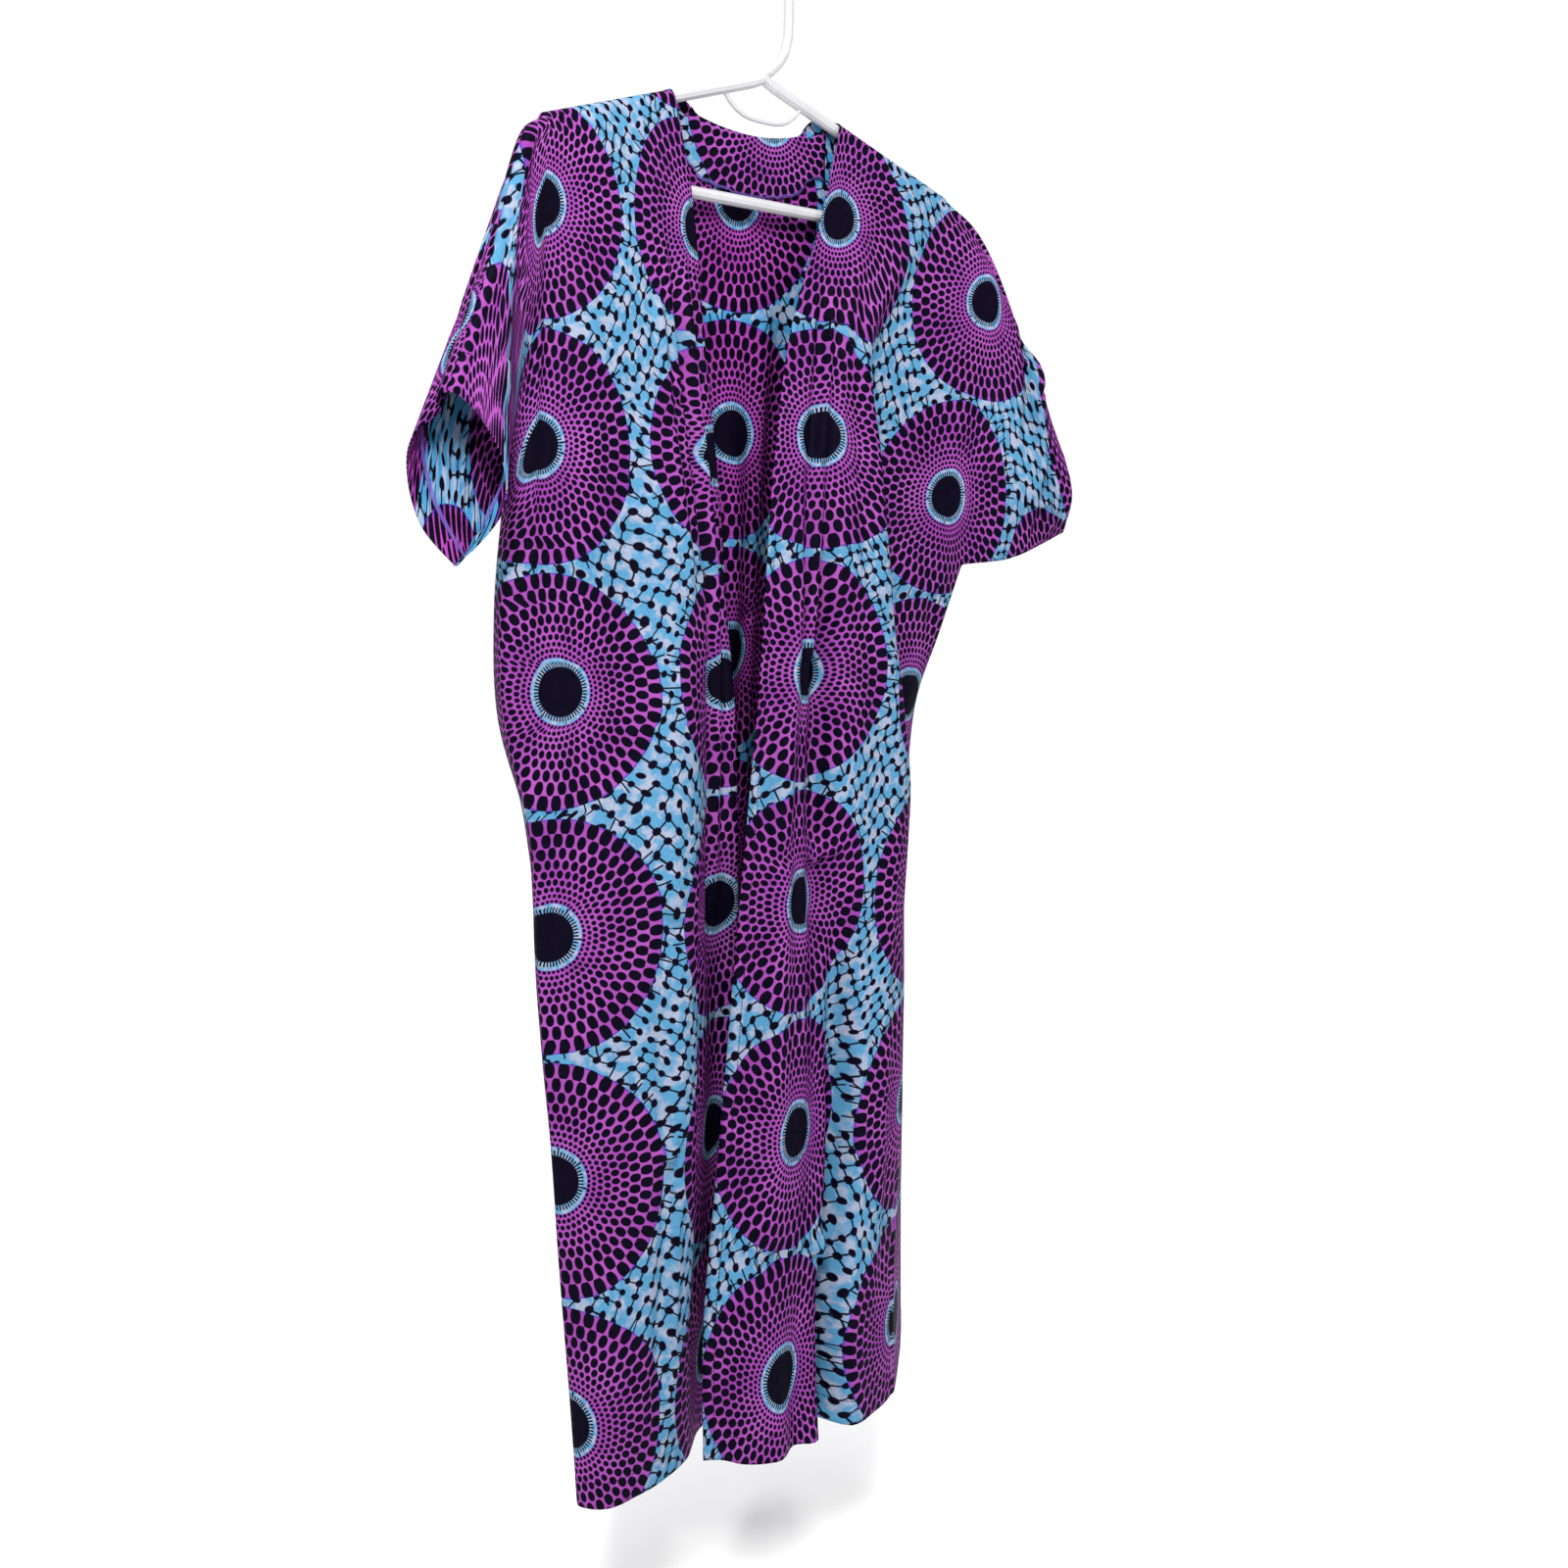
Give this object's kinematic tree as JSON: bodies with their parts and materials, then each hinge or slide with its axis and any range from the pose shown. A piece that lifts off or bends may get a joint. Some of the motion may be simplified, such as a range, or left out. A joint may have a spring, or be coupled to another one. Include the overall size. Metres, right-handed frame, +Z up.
{
  "type": "open-front wax print robe on a hanger",
  "caption": "Calf-length open-front robe with short batwing sleeves in dotted-disc wax print cotton, hanging on a white tubular hanger.",
  "frame": {"origin": "inner top of the hanger's hook, where a rail touches it", "axes": "+Z up, +X along the hanger to the viewer's right, the open front faces -Y"},
  "size_m": [0.6245, 0.1635, 1.1714],
  "materials": {
    "wax_print_back": "matt printed cotton",
    "wax_print_left": "matt printed cotton",
    "wax_print_right": "matt printed cotton",
    "wax_print_facing": "matt printed cotton",
    "white_plastic": "smooth moulded"
  },
  "bodies": {
    "root": {"back": "wax_print_back", "front_left": "wax_print_left", "front_right": "wax_print_right", "neck_facing": "wax_print_facing", "hanger": "white_plastic"}
  },
  "joints": []
}
